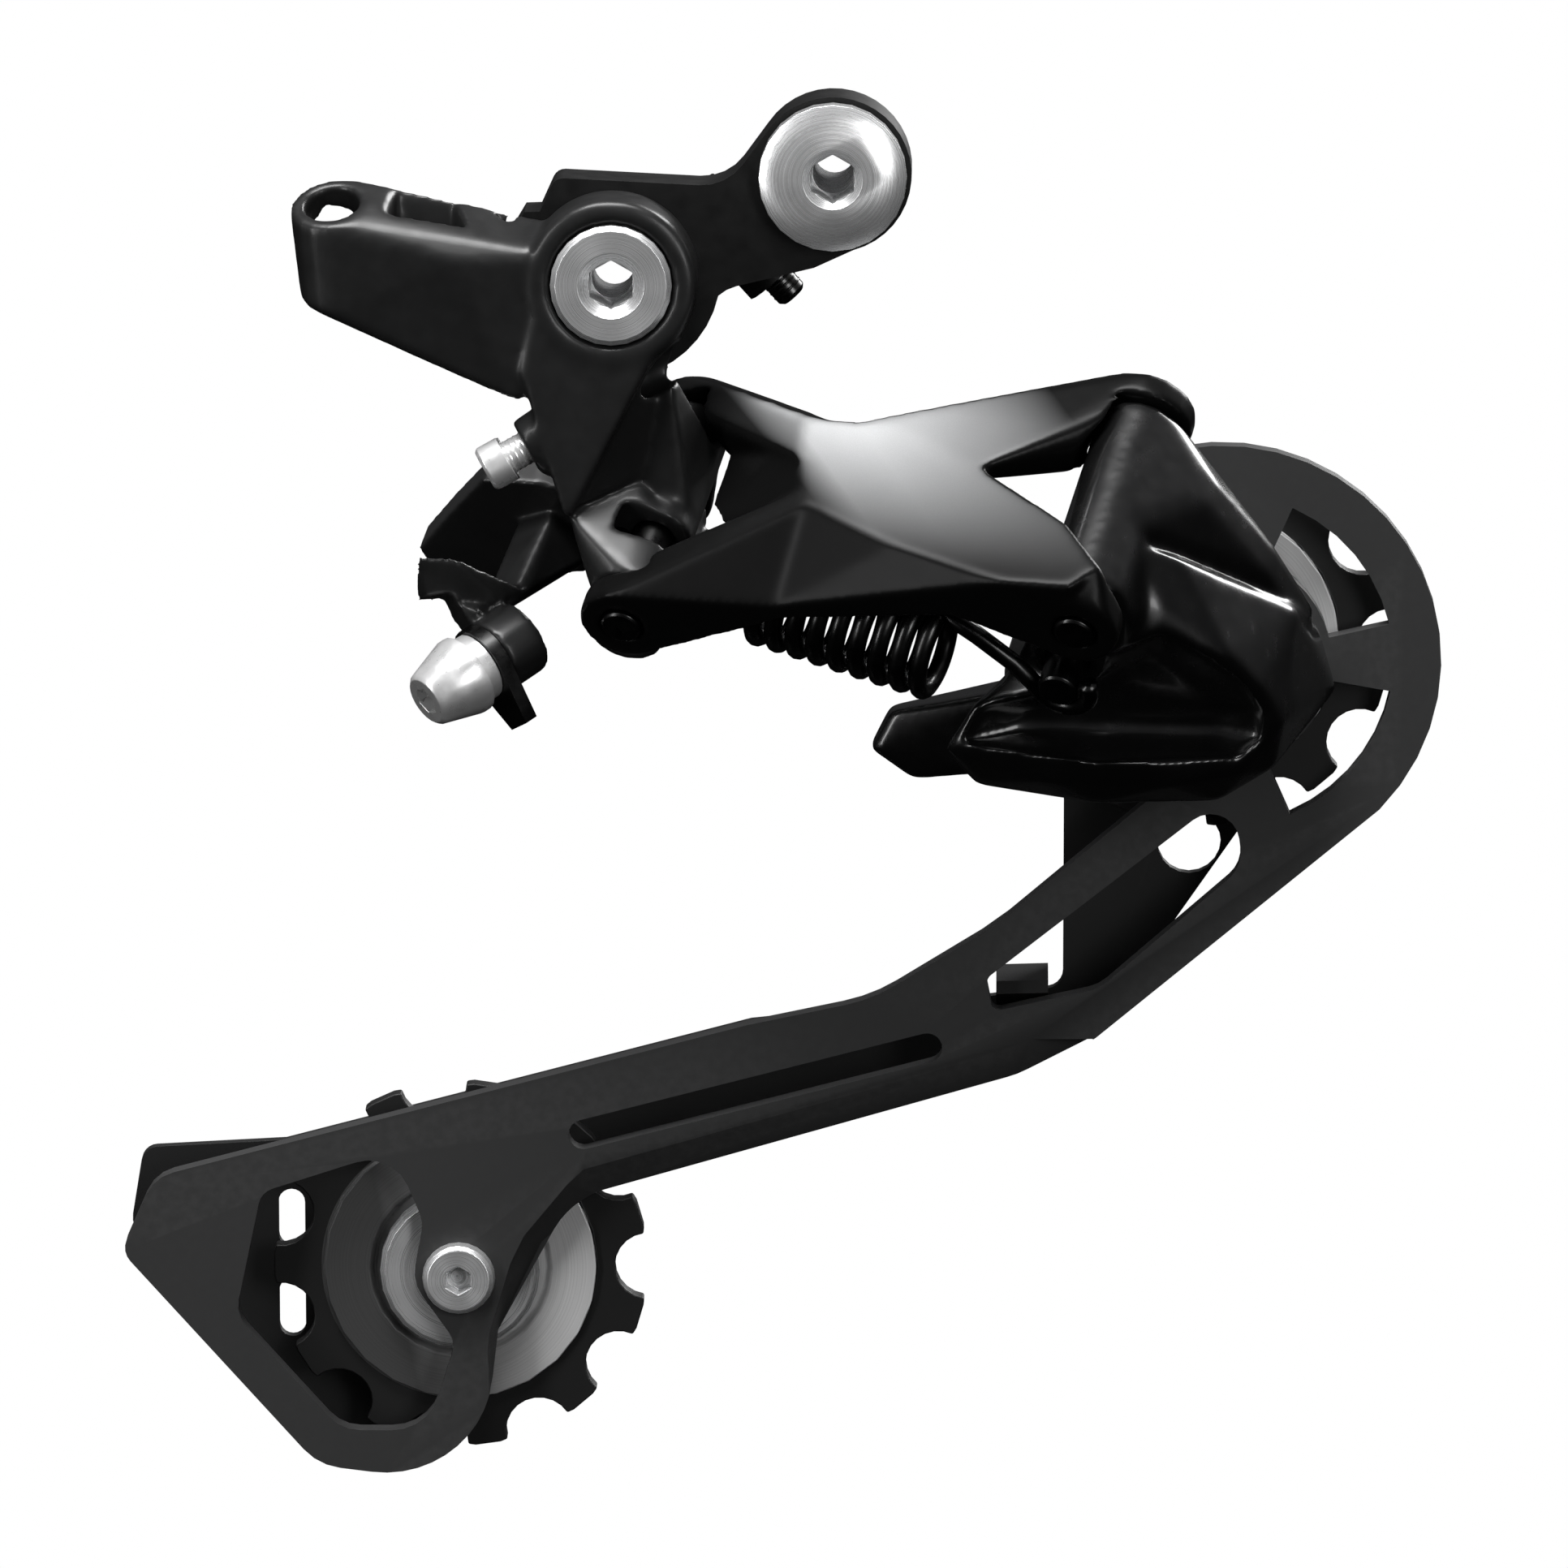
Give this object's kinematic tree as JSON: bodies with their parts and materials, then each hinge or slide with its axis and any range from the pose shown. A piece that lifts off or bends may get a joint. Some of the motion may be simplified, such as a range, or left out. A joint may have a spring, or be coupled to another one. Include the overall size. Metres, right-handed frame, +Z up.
{
  "type": "rear bicycle derailleur",
  "caption": "Long-cage rear derailleur: hanger bracket, slanted spring-loaded parallelogram, swinging cage with toothed guide and tension pulleys.",
  "frame": {"origin": "on the annular shoulder face of the hanger bolt that meets the frame's hanger, 5.9 mm straight ahead (+X) of the bolt's axis", "axes": "+X to the front of the bicycle, +Y inboard towards the wheel along the hanger bolt, +Z up"},
  "size_m": [0.1567, 0.067, 0.1689],
  "materials": {
    "gloss_black": "gloss",
    "satin_black": "satin",
    "grey_lacquer": "satin metallic",
    "dark_anodised": "satin anodised",
    "resin": "moulded",
    "steel": "turned",
    "dark_steel": "black oxide",
    "bronze": "sintered",
    "rubber": "matt"
  },
  "bodies": {
    "hanger_mount": {"hanger_bolt": "steel"},
    "bracket": {"bracket_arm": "satin_black", "hanger_bush": "bronze", "b_pivot_bolt": "steel"},
    "stop_screw": {"stop_screw": "dark_steel"},
    "b_knuckle": {"b_knuckle": "satin_black", "b_pivot_bush": "bronze", "rear_outer_pin": "dark_steel", "rear_inner_pin": "dark_steel"},
    "high_limit": {"high_limit_screw": "steel"},
    "low_limit": {"low_limit_screw": "steel"},
    "outer_link": {"outer_link": "grey_lacquer", "return_spring": "dark_steel"},
    "inner_link": {"inner_link": "satin_black", "cable_bolt": "steel", "cable_washer": "dark_steel"},
    "p_knuckle": {"p_knuckle": "gloss_black", "front_outer_pin": "dark_steel", "front_inner_pin": "dark_steel", "axle_bush": "bronze", "axle_seal": "rubber", "cage_spring": "dark_steel"},
    "cage": {"cage_axle": "steel", "cage_outer_plate": "dark_anodised", "cage_inner_plate": "dark_anodised", "stop_pin": "steel", "guide_cap_outer": "steel", "guide_cap_inner": "steel", "guide_bolt": "steel", "tension_bush": "steel", "tension_cap_outer": "steel", "tension_cap_inner": "steel", "tension_bolt": "steel"},
    "guide_float": {"guide_bush": "steel"},
    "guide_pulley": {"guide_pulley": "resin"},
    "tension_pulley": {"tension_pulley": "resin"}
  },
  "joints": [
    {"name": "hanger_pivot", "type": "hinge", "parent": "hanger_mount", "child": "bracket", "pos_m": [-0.0059, 0, 0], "axis": [0, 1, 0], "range_deg": [-8, 20]},
    {"name": "stop_screw_travel", "type": "slide", "parent": "bracket", "child": "stop_screw", "axis": [0.6702, 0, -0.7422], "range_m": [-0.002, 0.002]},
    {"name": "b_pivot", "type": "hinge", "parent": "bracket", "child": "b_knuckle", "pos_m": [-0.0316, 0, -0.0117], "axis": [0, 1, 0], "range_deg": [-10, 25]},
    {"name": "high_limit_travel", "type": "slide", "parent": "b_knuckle", "child": "high_limit", "axis": [0.8712, 0.1001, 0.4806], "range_m": [-0.002, 0.002]},
    {"name": "low_limit_travel", "type": "slide", "parent": "b_knuckle", "child": "low_limit", "axis": [0.8712, 0.1001, 0.4806], "range_m": [-0.002, 0.002]},
    {"name": "link_swing", "type": "hinge", "parent": "b_knuckle", "child": "outer_link", "pos_m": [-0.0304, -0.02, -0.05115], "axis": [0.2399, 0.7778, 0.5809], "range_deg": [0, 46], "deforming": ["return_spring"]},
    {"name": "inner_link_swing", "type": "hinge", "parent": "b_knuckle", "child": "inner_link", "pos_m": [-0.03249, -0.01253, -0.06029], "axis": [0.2399, 0.7778, 0.5809], "range_deg": [0, 46]},
    {"name": "knuckle_swing", "type": "hinge", "parent": "outer_link", "child": "p_knuckle", "pos_m": [0.02228, -0.03872, -0.04784], "axis": [0.2399, 0.7778, 0.5809], "range_deg": [-46, 0]},
    {"name": "cage_pivot", "type": "hinge", "parent": "p_knuckle", "child": "cage", "pos_m": [0.0287, 0, -0.0625], "axis": [0, -1, 0], "range_deg": [0, 95], "deforming": ["cage_spring"]},
    {"name": "guide_float", "type": "slide", "parent": "cage", "child": "guide_float", "axis": [0, 1, 0], "range_m": [-0.00045, 0.00045]},
    {"name": "guide_spin", "type": "hinge", "parent": "guide_float", "child": "guide_pulley", "pos_m": [0.0377, 0.009, -0.0585], "axis": [0, 1, 0], "continuous": true},
    {"name": "tension_spin", "type": "hinge", "parent": "cage", "child": "tension_pulley", "pos_m": [-0.0507, 0.009, -0.1354], "axis": [0, 1, 0], "continuous": true}
  ],
  "couplings": [
    {"joint": "inner_link_swing", "follows": "link_swing", "ratio": 1},
    {"joint": "knuckle_swing", "follows": "link_swing", "ratio": -1}
  ]
}
